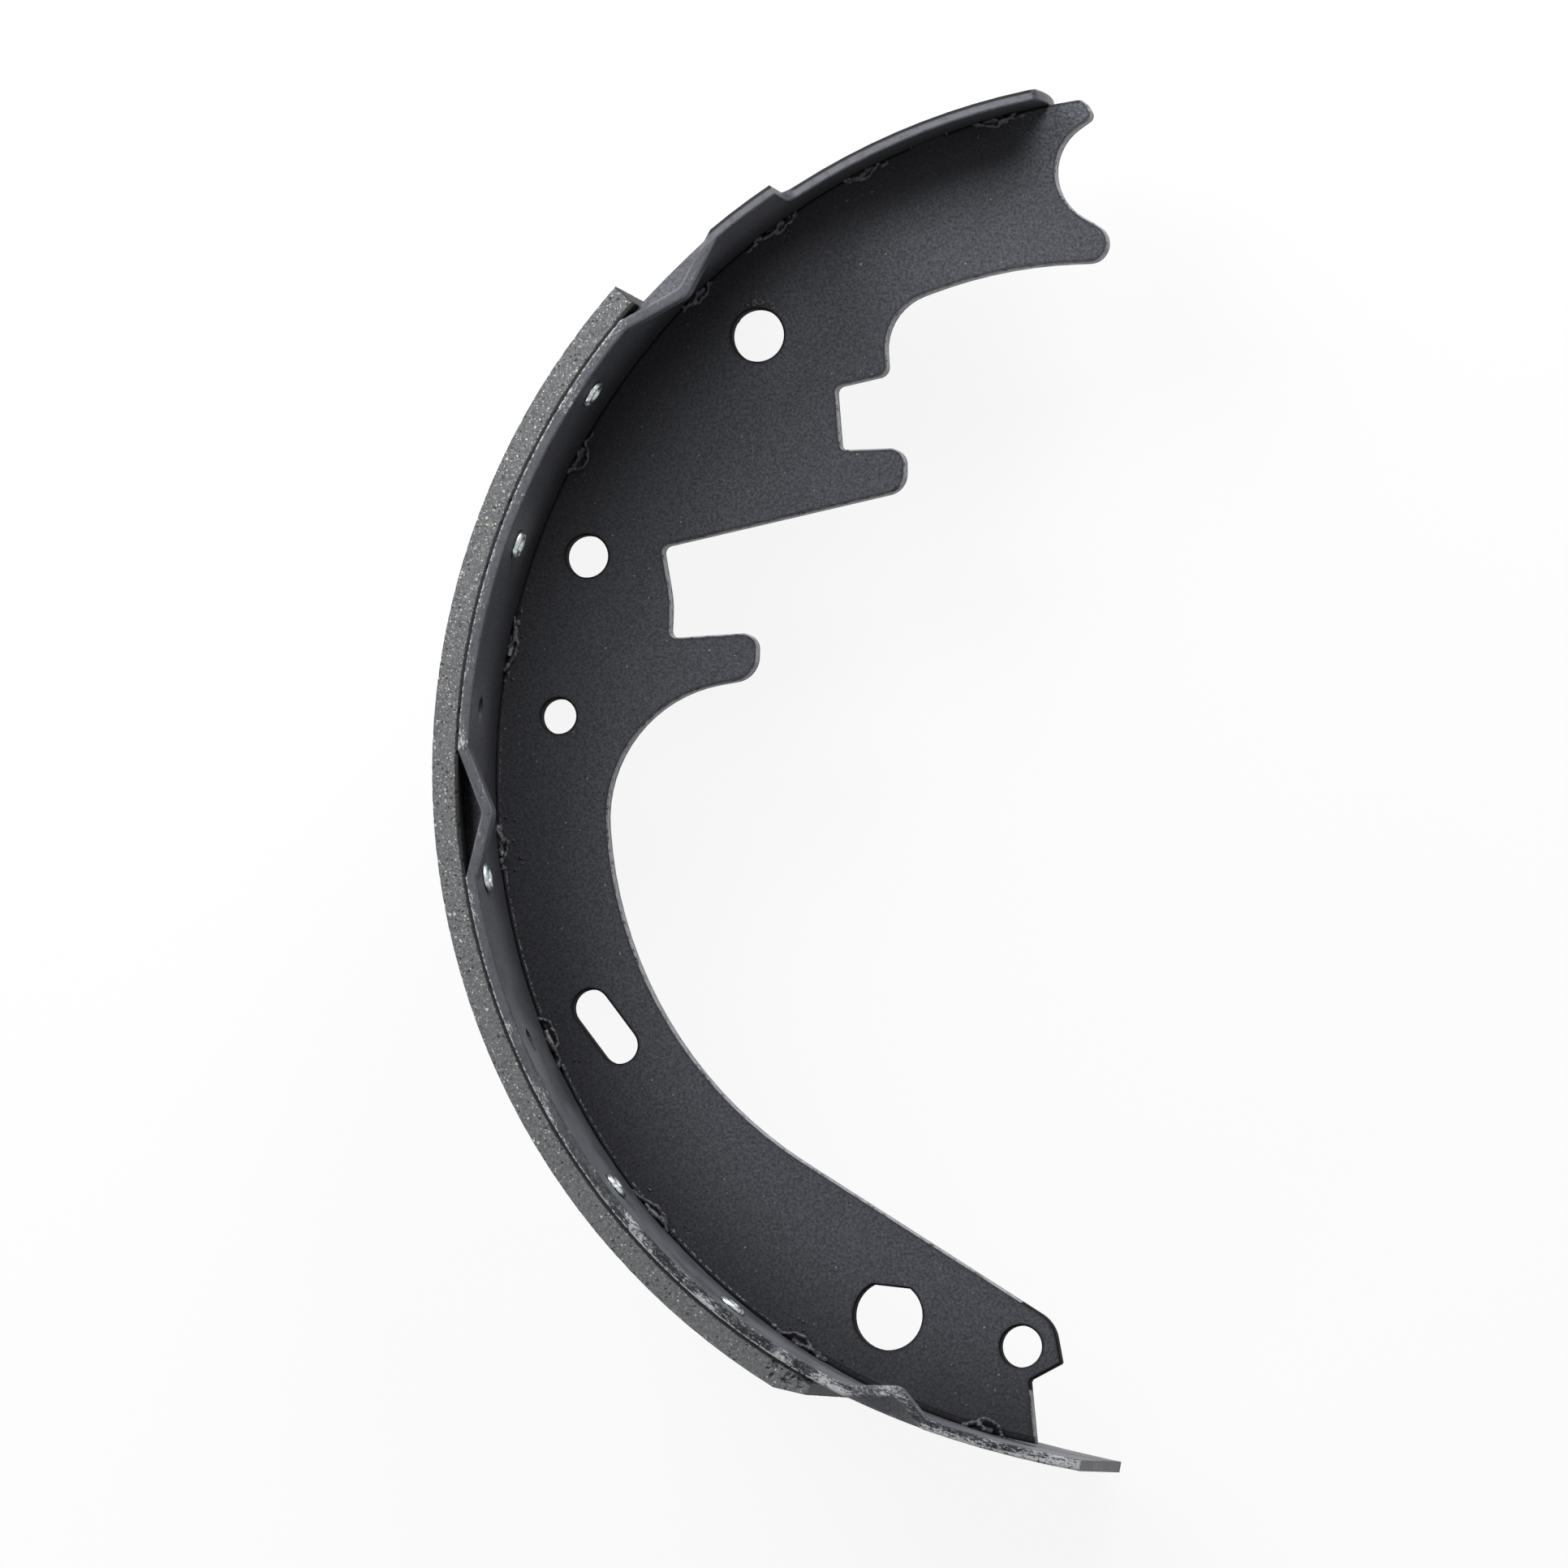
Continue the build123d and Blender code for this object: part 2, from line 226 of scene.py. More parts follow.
def paint_film():
    """Thin dipped paint: its height, with orange peel and grain, its grain and a slow cloud."""
    tree, takes, gives = effect("paint film", {"Peel": 1.0, "Grain": 1.0}, {
        "Height": "Float", "Uneven": "Float", "Grain": "Float"})
    point = use(tree, drum_place)["Point"]
    grain = cloud(tree, point, 1.7, 5.0, 0.8)
    tall = reckon(tree, "MULTIPLY", cloud(tree, point, 0.6, 2.0), takes["Peel"])
    fine = reckon(tree, "MULTIPLY", grain, takes["Grain"])
    tree.links.new(reckon(tree, "ADD", tall, fine), gives["Height"])
    tree.links.new(cloud(tree, point, 0.05, 4.0), gives["Uneven"])
    tree.links.new(grain, gives["Grain"])
    return tree


film = paint_film()
paint_colour = (0.038, 0.039, 0.046)
paint_pale = (0.112, 0.115, 0.131)
# Dark paint, also laid as painted shade in corners, along rims, in holes and in gaps.
dark_paint_and_shade = (0.010, 0.010, 0.012)
dust_colour = (0.42, 0.44, 0.48)
paint_relief = 0.00006
paint_roughness = 0.36
cloud_roughness = 0.25
dull_roughness = 0.95


class Paint:
    """Satin black paint over steel, with grain and dust, before it is joined up. A piece may
    shade it, change its bump and mark where it is dull before it calls finish. Its mask named
    flat is 1 on the faces that lie level."""

    def __init__(self, name, edge_width):
        self.material = bpy.data.materials.new(name)
        self.material.use_nodes = True
        self.tree = tree = self.material.node_tree
        self.where = use(tree, drum_place)
        self.film = use(tree, film, Peel=1.0, Grain=0.6)
        self.edge = use(tree, worn_edge, Width=edge_width)
        dust = use(tree, speck_scatter, Per_mm=1.3, Share=0.08, Size=0.21, Seed=3.0)
        grain = between(tree, self.film["Grain"], 0.36, 0.66)
        self.colour = tint(tree, grain, paint_colour, paint_pale)
        self.shade(overlap(tree, dust["Mask"], dust["Tone"]), dust_colour)
        self.normal = put(tree, "ShaderNodeNewGeometry").outputs["True Normal"]
        upright = put(tree, "ShaderNodeSeparateXYZ", {0: self.normal}).outputs[2]
        self.flat = between(tree, reckon(tree, "ABSOLUTE", upright), 0.80, 0.95)
        self.height = self.film["Height"]
        self.dull = None

    def shade(self, mask, colour):
        """Lays a colour over the paint where the mask is 1."""
        self.colour = tint(self.tree, mask, self.colour, colour)

    def finish(self, gloss=0.15):
        """The material, once its colour, roughness and bump are joined to its shader."""
        tree = self.tree
        shader = tree.nodes["Principled BSDF"]
        bump = put(tree, "ShaderNodeBump", {
            "Height": self.height, "Normal": self.edge["Normal"], "Strength": 0.5,
            "Distance": paint_relief})
        rough = reckon(tree, "MULTIPLY_ADD", self.film["Uneven"], cloud_roughness,
                       paint_roughness)
        if self.dull is not None:
            rough = reckon(tree, "MAXIMUM", rough, overlap(tree, self.dull, dull_roughness))
        tree.links.new(self.colour, shader.inputs["Base Color"])
        tree.links.new(rough, shader.inputs["Roughness"])
        tree.links.new(bump.outputs[0], shader.inputs["Normal"])
        shader.inputs["Specular IOR Level"].default_value = gloss
        return self.material


def rings(tree, where, angles, radius, width):
    """Mask of thin rings on the table's middle line at the given angles, sizes in millimetres."""
    total = 0.0
    for angle in angles:
        along = reckon(tree, "SUBTRACT", where["Along"],
                       math.radians(angle) * table_radius / millimetre)
        square = reckon(tree, "MULTIPLY", along, along)
        square = reckon(tree, "MULTIPLY_ADD", where["Height"], where["Height"], square)
        off = reckon(tree, "SUBTRACT", reckon(tree, "SQRT", square), radius)
        ring = between(tree, reckon(tree, "ABSOLUTE", off), width, 0.0)
        total = reckon(tree, "MAXIMUM", total, ring)
    return total


weld_mark_angles = (75.0, 63.2, 54.3, 45.5, -74.0)
weld_mark_radius = 2.9
weld_mark_width = 0.5
weld_mark_depth = 3.0
tongue_angles = (46.0, 50.0)
scrape_angles = (0.0, -55.0)
chip_angles = (-18.0, -45.0)
lit_wall_angles = (5.0, -40.0)
upper_shade_angles = (-60.0, 30.0)
run_angles = (-58.0, -66.0)
run_heights = (-12.0, 14.0)
haze_angles = (66.0, 76.0)
haze_heights = (0.0, 14.0)
corner_shade_heights = (23.0, 3.0)
edge_grey = (0.105, 0.109, 0.121)
# Light grey: a painted highlight on the tongue's edge, painted light on the table's inner wall,
# and pale patches on the weld metal.
edge_light = (0.160, 0.166, 0.184)
edge_bright = (0.60, 0.61, 0.63)
run_colour = (0.24, 0.24, 0.27)
smear_length = 0.40
scratch_share = 0.65
scuff_level = (0.600, 0.620)
scuff_growth = 0.066
outer_growth = 0.035
chip_level = (0.440, 0.420)
chip_growth = -0.045
rim_level = (0.49, 0.56)
rim_growth = 0.06


def cut_edge(paint):
    """Colours of the sheared edge: dark grey, with painted shade along its inner rim, a scraped
    outer rim along the lining and scuffs that grow towards the lower end. On the tongue a painted
    highlight lies along the inner half and the outer half is dark. Depths go out through the
    wall, in millimetres from the table's inner face."""
    tree, where, flat = paint.tree, paint.where, paint.flat
    depth = reckon(tree, "SUBTRACT", where["Radius"], web_radius / millimetre)
    lower = between(tree, where["Angle"], *scrape_angles)
    tongue = between(tree, where["Angle"], *tongue_angles)
    rest = overlap(tree, flat, reckon(tree, "SUBTRACT", 1.0, tongue))
    tongue = overlap(tree, tongue, flat)
    smear = put(tree, "ShaderNodeCombineXYZ", {
        0: reckon(tree, "MULTIPLY", where["Along"], smear_length), 1: where["Radius"]}).outputs[0]
    streaks = cloud(tree, smear, 1.2, 4.0, 0.65)
    patches = cloud(tree, smear, 0.30, 2.0, 0.5)
    scratches = cloud(tree, smear, 2.3, 5.0, 0.85)
    rough = reckon(tree, "MULTIPLY_ADD", scratches, scratch_share,
                   reckon(tree, "MULTIPLY", patches, 1 - scratch_share))

    paint.shade(overlap(tree, flat, between(tree, streaks, 0.25, 0.60)), edge_grey)
    # Painted highlight: a light band along the inner half of the tongue's edge.
    highlight_band = overlap(tree, between(tree, depth, 0.15, 0.50), between(tree, depth, 1.75, 1.30))
    paint.shade(overlap(tree, tongue, highlight_band, between(tree, streaks, 0.15, 0.60)), edge_light)
    # Painted shade: the inner rim of the edge is laid back to the paint's colour.
    lean = turned(tree, paint.edge["Normal"], where["Outward"])
    paint.shade(overlap(tree, between(tree, lean, 0.0, -0.50), rest, 0.6), paint_colour)

    high = reckon(tree, "MULTIPLY_ADD", lower, scuff_growth, rough)
    high = reckon(tree, "MULTIPLY_ADD", between(tree, depth, 0.5, 1.8), outer_growth, high)
    scuffs = between(tree, high, *scuff_level)
    paint.shade(overlap(tree, scuffs, rest, 0.9), edge_bright)
    low = reckon(tree, "MULTIPLY_ADD", lower, chip_growth, rough)
    chips = overlap(tree, between(tree, low, *chip_level),
                    between(tree, where["Angle"], *chip_angles))
    paint.shade(overlap(tree, chips, rest, 0.85), dark_paint_and_shade)
    dented = overlap(tree, between(tree, depth, 0.0, -0.4), paint.edge["Edge"])
    paint.shade(overlap(tree, dented, rest, 0.7), run_colour)

    fine = cloud(tree, where["Point"], 1.3, 4.0, 0.8)
    broken = between(tree, reckon(tree, "MULTIPLY_ADD", lower, rim_growth, fine), *rim_level)
    rim_line = overlap(tree, between(tree, depth, 1.88, 2.08), broken)
    paint.shade(overlap(tree, rim_line, rest, 0.9), edge_bright)
    # The outer half of the tongue's edge is made dark.
    painted = between(tree, depth, 1.50, 1.85)
    paint.shade(overlap(tree, tongue, painted, 0.95), dark_paint_and_shade)


def table_paint():
    """Black paint with grey sheared edges. The inner face has painted light in patches at the
    lower end and painted shade towards the web, deepest at the upper end. The outer one has weld
    marks, and pale runs and haze at its ends."""
    paint = Paint("table_paint", 0.0010)
    tree, where = paint.tree, paint.where
    cut_edge(paint)
    outer = between(tree, where["Radius"], table_radius / millimetre - 0.4,
                    table_radius / millimetre - 0.1)
    outer = overlap(tree, outer, reckon(tree, "SUBTRACT", 1.0, paint.flat))
    inner = between(tree, turned(tree, paint.normal, where["Outward"]), -0.3, -0.6)

    # Painted light in broad patches on the inner wall towards the lower end.
    lit_wall = overlap(tree, between(tree, where["Angle"], *lit_wall_angles),
                    between(tree, cloud(tree, where["Point"], 0.09, 5.0, 0.65), 0.30, 0.62))
    paint.shade(overlap(tree, lit_wall, inner, 0.85), edge_light)
    # Painted shade on the inner wall towards the web, deepest at the upper end.
    corner = between(tree, reckon(tree, "ABSOLUTE", where["Height"]), *corner_shade_heights)
    upper = reckon(tree, "MULTIPLY_ADD", between(tree, where["Angle"], *upper_shade_angles), 0.40, 0.38)
    paint.shade(overlap(tree, inner, corner, upper), dark_paint_and_shade)

    marks = rings(tree, where, weld_mark_angles, weld_mark_radius, weld_mark_width)
    marks = overlap(tree, marks, outer)
    paint.shade(overlap(tree, marks, 0.7), dark_paint_and_shade)
    flow = cloud(tree, where["Point"], 0.11, 3.0, 0.6)
    rim = between(tree, reckon(tree, "ABSOLUTE", reckon(tree, "SUBTRACT", flow, 0.53)), 0.022, 0.0)
    pool = overlap(tree, between(tree, flow, 0.55, 0.62), 0.45)
    runs = overlap(tree, reckon(tree, "MAXIMUM", rim, pool),
                   between(tree, where["Angle"], *run_angles),
                   between(tree, where["Height"], *run_heights))
    haze = overlap(tree, between(tree, where["Angle"], *haze_angles),
                   between(tree, where["Height"], *haze_heights),
                   between(tree, flow, 0.42, 0.60), 0.7)
    pale = overlap(tree, reckon(tree, "MAXIMUM", runs, haze), outer, 0.75)
    paint.shade(pale, run_colour)
    pressed = reckon(tree, "MULTIPLY", marks, weld_mark_depth)
    paint.height = reckon(tree, "SUBTRACT", paint.height, pressed)
    return paint.finish()


def finish_node(name, material):
    """Gives a CAD piece its finish and leaves its form alone."""
    mesh = frame["nodes"][name].data
    mesh.materials.clear()
    mesh.materials.append(material)


finish_node("table", table_paint())

# Web of the shoe: a flat stamping of 4.5 mm steel, welded on edge along the middle of the
# table. The same paint covers it, with painted shade in the corner along the table. Its sheared
# edges have painted shade on their walls and along the rims of the faces, with a broken painted
# highlight over the near half of the walls, and the walls of its punched holes are matt, with
# painted shade.
web_half_thickness = 0.00225
corner_shade_reach = 0.026
rim_shade_width = 0.0016
# Light grey of the painted highlight on the web's walls and of the flash line.
highlight_and_flash_grey = (0.330, 0.339, 0.365)
nose_sheen_colour = (0.235, 0.250, 0.290)
nose_tip = Vector(mounts["anchor_seat"]["pos_m"]) + Vector((-0.003, 0.014, 0.0))
nose_sheen_distances = (0.024, 0.006)
hole_names = ("return_spring_hole", "lever_pivot_hole", "upper_small_hole",
              "adjuster_spring_hole", "cable_guide_hole", "hold_down_slot")
hole_reach = 0.0095
highlight_border = (-0.7, 0.7)
flash_gap = 1.0
flash_angles = (15.0, -20.0)
seam_shadow_gaps = (0.6, 0.25)
foot_angles = (-45.0, -62.0)
foot_gap = 1.1


def distance(tree, spot):
    """How far the surface is from a spot, in metres."""
    here = put(tree, "ShaderNodeTexCoord").outputs["Object"]
    made = put(tree, "ShaderNodeVectorMath", {0: here, 1: spot}, operation="DISTANCE")
    return made.outputs["Value"]


def web_paint():
    """Black paint, with painted shade towards the corner with the table and along the joint with
    it, a painted sheen at the nose, painted shade along the rims and walls of the sheared edges
    and a painted highlight on the near half of the walls. Gaps are in millimetres from the table."""
    paint = Paint("web_paint", 0.0004)
    tree, where = paint.tree, paint.where
    # Painted shade in the corner along the table.
    root = between(tree, where["Radius"], (web_radius - corner_shade_reach) / millimetre,
                   web_radius / millimetre)
    paint.shade(overlap(tree, root, 0.55), dark_paint_and_shade)
    # Painted sheen: a pale bluish reflection laid in patches round the nose.
    near_nose = between(tree, distance(tree, nose_tip), *nose_sheen_distances)
    nose_sheen = overlap(tree, near_nose, between(tree, paint.film["Grain"], 0.30, 0.75))
    paint.shade(overlap(tree, nose_sheen, 0.75), nose_sheen_colour)

    inside = 0.0
    for name in hole_names:
        middle = Vector(mounts[name]["pos_m"])
        within = reckon(tree, "LESS_THAN", distance(tree, middle), hole_reach)
        inside = reckon(tree, "MAXIMUM", inside, within)
    wall = reckon(tree, "SUBTRACT", 1.0, paint.flat)
    # Painted shadow line along the rim of the faces, and painted shade on all the walls.
    rim = between(tree, use(tree, worn_edge, Width=rim_shade_width)["Edge"], 0.10, 0.50)
    rim = reckon(tree, "MAXIMUM", overlap(tree, rim, paint.flat), wall)
    paint.shade(overlap(tree, rim, 0.95), dark_paint_and_shade)
    # Painted highlight: a broken light line over the walls, brightest on their near half.
    patchy = between(tree, cloud(tree, where["Point"], 0.7, 4.0, 0.7), 0.30, 0.55)
    ragged = reckon(tree, "MULTIPLY_ADD", reckon(tree, "SUBTRACT", patchy, 0.5), 1.2,
                    where["Height"])
    sheared = reckon(tree, "MULTIPLY_ADD", between(tree, ragged, *highlight_border), 0.70, 0.25)
    outline_highlight = overlap(tree, wall, patchy, reckon(tree, "SUBTRACT", 1.0, inside))
    paint.shade(overlap(tree, outline_highlight, sheared), highlight_and_flash_grey)
    # The walls of the punched holes are matt, with painted shade.
    paint.dull = overlap(tree, wall, inside)
    paint.shade(overlap(tree, paint.dull, 0.95), dark_paint_and_shade)

    gap = reckon(tree, "SUBTRACT", web_radius / millimetre, where["Radius"])
    flash = reckon(tree, "ABSOLUTE", reckon(tree, "SUBTRACT", gap, flash_gap))
    broken = between(tree, cloud(tree, where["Point"], 1.4, 3.0, 0.7), 0.50, 0.58)
    lower = between(tree, where["Angle"], *flash_angles)
    paint.shade(overlap(tree, between(tree, flash, 0.22, 0.08), broken, lower, 0.8), highlight_and_flash_grey)
    # Painted shadow along the joint with the table, wider at the foot.
    foot = between(tree, where["Angle"], *foot_angles)
    seam_shadow = between(tree, reckon(tree, "MULTIPLY_ADD", foot, -foot_gap, gap), *seam_shadow_gaps)
    paint.shade(overlap(tree, seam_shadow, 0.9), dark_paint_and_shade)
    return paint.finish()


finish_node("web", web_paint())

# Weld metal: resistance welds join the web to the table. Each squeezed a crumpled curl of
# metal out of the corner on both sides of the web, with crumbs beside it, and threw small
# drops about. The paint covers it, in random dark patches of painted shade for the gaps
# between the lumps and random pale patches.
weld_pitch = 17.07
weld_angles = [75.0, 63.2, 54.3] + [45.5 - weld_pitch * i for i in range(8)]
curl_steps = 26
curl_radius = 0.00046
curl_lengths = (0.0065, 0.0105)
curl_bulges = (0.0014, 0.0024)
upper_curl_bulges = (0.0006, 0.0011)
crumb_radius = 0.0006
crumb_gaps = (0.0001, 0.0011)
crumbs_per_weld = 7
drop_radius = 0.00026
drop_gaps = (0.0015, 0.0050)
drops_per_weld = 8
spring_hole_drops = 26
spring_hole_margin = 0.0007
spring_hole_spread = 0.0016
skin_size = 0.00016
drop = bmesh.new()
bmesh.ops.create_icosphere(drop, subdivisions=2, radius=1.0)
drop_points = [vertex.co.copy() for vertex in drop.verts]
drop_faces = [[vertex.index for vertex in face.verts] for face in drop.faces]
drop.free()


def away(angle):
    """Direction away from the drum's axis at an angle. With 90 degrees added it runs along the
    table, towards the anchor pin."""
    return around(1, angle) - drum_axis


def lump(mesh, centre, radius, stretch, along, chance):
    """Adds one rough drop of metal, drawn out along a direction, to lists of points and faces."""
    points, faces = mesh
    turn = along.to_track_quat("X", "Z").to_matrix()
    offset = Vector([chance.uniform(0, 90) for _ in range(3)])
    faces += [[len(points) + corner for corner in face] for face in drop_faces]
    for point in drop_points:
        swell = 1 + 0.5 * noise.noise(point * 1.3 + offset)
        place = Vector((point.x * stretch, point.y, point.z)) * radius * swell
        points.append(centre + turn @ place)


def curl(mesh, angle, length, bulge, height, chance):
    """Adds one ridge that leaves the corner, bows out over the web and comes back."""
    offset = chance.uniform(0, 90)
    lean = chance.uniform(0.6, 1.5)
    for step in range(curl_steps + 1):
        share = step / curl_steps
        wander = noise.noise(Vector((5 * share, offset, 0)))
        bow = math.sin(math.pi * share ** lean) * (1 + 0.5 * wander)
        turn = angle + math.degrees((share - 0.5) * length / web_radius)
        size = curl_radius * (0.75 + 0.7 * abs(noise.noise(Vector((8 * share, 0, offset)))))
        centre = around(web_radius - 0.0002 - bulge * max(bow, 0), turn,
                        height * (1 + 0.25 * size / curl_radius))
        lump(mesh, centre, size, 1.3, away(turn + 90), chance)


def splash(mesh, face, chance):
    """Adds the drops that a weld threw about the return spring's hole."""
    hole = Vector(mounts["return_spring_hole"]["pos_m"])
    reach = mounts["return_spring_hole"]["dims"]["r_mm"] * millimetre + spring_hole_margin
    for _ in range(spring_hole_drops):
        turn = math.radians(chance.gauss(92, 17))
        outward = reach + spring_hole_spread * abs(chance.gauss(0, 0.6))
        spot = Vector((outward * math.cos(turn), outward * math.sin(turn), face))
        size = drop_radius * chance.uniform(0.8, 1.7)
        lump(mesh, hole + spot, size, 1.3, Vector((1, 0.4, 0)), chance)


def weld_metal(side):
    """Points and faces of the curls, crumbs and drops along one side of the web."""
    chance = random.Random(40 + side)
    mesh = ([], [])
    face = side * web_half_thickness
    for angle in weld_angles:
        length = chance.uniform(*curl_lengths)
        curl(mesh, angle, length, chance.uniform(*curl_bulges), face + side * 0.0002, chance)
        shift = chance.uniform(-1.2, 1.2)
        curl(mesh, angle + shift, 0.6 * length, chance.uniform(*upper_curl_bulges),
             face + side * 0.0005, chance)
        for _ in range(crumbs_per_weld):
            turn = angle + math.degrees(chance.uniform(-0.75, 0.75) * length / web_radius)
            size = crumb_radius * chance.uniform(0.5, 1.1)
            centre = around(web_radius - chance.uniform(*crumb_gaps), turn, face)
            lump(mesh, centre, size, 1.6, away(turn + 90), chance)
        for _ in range(drops_per_weld):
            turn = angle + math.degrees(chance.uniform(-1.0, 1.0) * length / web_radius)
            size = drop_radius * chance.uniform(0.7, 1.3)
            centre = around(web_radius - chance.uniform(*drop_gaps), turn, face)
            lump(mesh, centre, size, 1.0, Vector((1, 0, 0)), chance)
    if side > 0:
        splash(mesh, face, chance)
    return mesh


def in_scene(name, data):
    """Object of the given mesh, lamp or camera, put in the scene."""
    piece = bpy.data.objects.new(name, data)
    bpy.context.scene.collection.objects.link(piece)
    return piece


def settle(piece):
    """Puts the form that its modifiers give a piece in place of its mesh."""
    bpy.context.view_layer.update()
    shaped = piece.evaluated_get(bpy.context.evaluated_depsgraph_get())
    piece.data = bpy.data.meshes.new_from_object(shaped)
    piece.modifiers.clear()


def fused(name, mesh):
    """One skin drawn over all the lumps of a side."""
    data = bpy.data.meshes.new(name)
    data.from_pydata(mesh[0], [], mesh[1])
    piece = in_scene(name, data)
    skin = piece.modifiers.new("skin", "REMESH")
    skin.mode = "VOXEL"
    skin.voxel_size = skin_size
    settle(piece)
    for polygon in piece.data.polygons:
        polygon.use_smooth = True
    return piece


weld_paint = Paint("weld_paint", 0.0002)
patchy = cloud(weld_paint.tree, weld_paint.where["Point"], 1.2, 4.0, 0.7)
# Dark patches: painted shade for the gaps between the lumps. Pale patches fall at random.
weld_paint.shade(between(weld_paint.tree, patchy, 0.56, 0.44), dark_paint_and_shade)
weld_paint.shade(between(weld_paint.tree, patchy, 0.62, 0.72), edge_light)
weld_finish = weld_paint.finish(gloss=0.45)
for label, side in (("near", 1), ("far", -1)):
    beads = fused(f"weld_metal_{label}", weld_metal(side))
    beads.data.materials.clear()
    beads.data.materials.append(weld_finish)
    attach(beads, "root")

# Lining: a block of moulded friction material, riveted on and then ground to the drum's curve.
# Chopped glass and brass show in it as flecks, and the grinding left fine lines across it. Its
# edges and the rims of its rivet holes are crumbled, most at the bevelled lower end.
lining_half_width = 0.0349
lining_thickness = 0.0055
lining_top_angle = 42.0
lining_toe_angle = -61.1
lining_bevel_depth = 0.0021
rivet_row_angles = [48.0 - 14.2 * row for row in (1, 2, 4, 6, 7)]
rivet_side_height = 0.0242
counterbore_radius = 0.0045
counterbore_shelf = 0.0033
edge_crumbs = ((1, 170), (-1, 130))
top_crumbs = 60
toe_crumbs = 70
toe_side_crumbs = 26
hole_rim_crumbs = 11
lining_colour = (0.200, 0.206, 0.213)
lining_dark = (0.062, 0.065, 0.068)
fleck_colour = (0.78, 0.78, 0.77)
brass_colour = (0.30, 0.25, 0.18)
pit_colour = (0.022, 0.022, 0.023)
joint_colour = (0.008, 0.008, 0.008)
grinding_bow = 0.0016
grinding_length = 0.035
ground_skin = (0.35, 0.10)
joint_skin = (0.90, 0.60)
brass_angles = (-40.0, 40.0)
fleck_angles = (-45.0, -8.0)
fleck_sizes = ((0.9, 0.25, 1.0), (1.7, 0.30, 5.0), (2.8, 0.31, 11.0))
friction_relief = 0.00012


def chip(mesh, centre, size, along, chance):
    """Adds one angular crumb to the cutter, a little longer along the edge that it breaks."""
    made = bmesh.ops.create_icosphere(mesh, subdivisions=1, radius=size)
    turn = along.to_track_quat("X", "Z").to_matrix()
    stretch = chance.uniform(1.1, 2.4)
    for vertex in made["verts"]:
        rough = vertex.co * chance.uniform(0.65, 1.3)
        vertex.co = centre + turn @ Vector((rough.x * stretch, rough.y, rough.z))


def crumb_size(chance, least, spread, rarity=2):
    """Radius of one crumb: most are near the least, and the large ones are rare."""
    return least + spread * chance.random() ** rarity


def crumbled_places(chance):
    """Centre, size and direction of every crumb that has broken off the lining: along its side
    edges, its upper end, the edges and the side of its bevelled toe, and its rivet holes."""
    across = Vector((0, 0, 1))
    for side, count in edge_crumbs:
        for _ in range(count):
            angle = chance.uniform(lining_toe_angle + 3, lining_top_angle)
            radius = chance.choice((lining_radius, lining_radius, table_radius))
            size = crumb_size(chance, 0.00016, 0.00045, 3)
            yield around(radius, angle, side * lining_half_width), size, away(angle + 90)
    for _ in range(top_crumbs):
        height = chance.uniform(-1, 1) * lining_half_width
        size = crumb_size(chance, 0.00020, 0.00050)
        yield around(lining_radius, lining_top_angle, height), size, across
    for _ in range(toe_crumbs):
        height = chance.uniform(-1, 1) * lining_half_width
        size = crumb_size(chance, 0.00025, 0.00070)
        depth = chance.choice((lining_bevel_depth, lining_thickness))
        yield around(lining_radius - depth, lining_toe_angle, height), size, across
    for _ in range(toe_side_crumbs):
        angle = lining_toe_angle + chance.uniform(0.2, 4.2)
        radius = lining_radius - chance.uniform(0.0018, lining_thickness)
        size = crumb_size(chance, 0.00030, 0.00060)
        tilt = Vector((chance.uniform(-1, 1), chance.uniform(-1, 1), 0.1))
        yield around(radius, angle, lining_half_width + 0.3 * size), size, tilt
    for angle in rivet_row_angles:
        for side in (1, -1):
            centre = around(lining_radius, angle, side * rivet_side_height)
            for _ in range(hole_rim_crumbs):
                turn = chance.uniform(0, 2 * math.pi)
                rim = math.cos(turn) * away(angle + 90) + math.sin(turn) * across
                size = crumb_size(chance, 0.00016, 0.00050)
                yield centre + counterbore_radius * rim, size, rim.cross(centre - drum_axis)


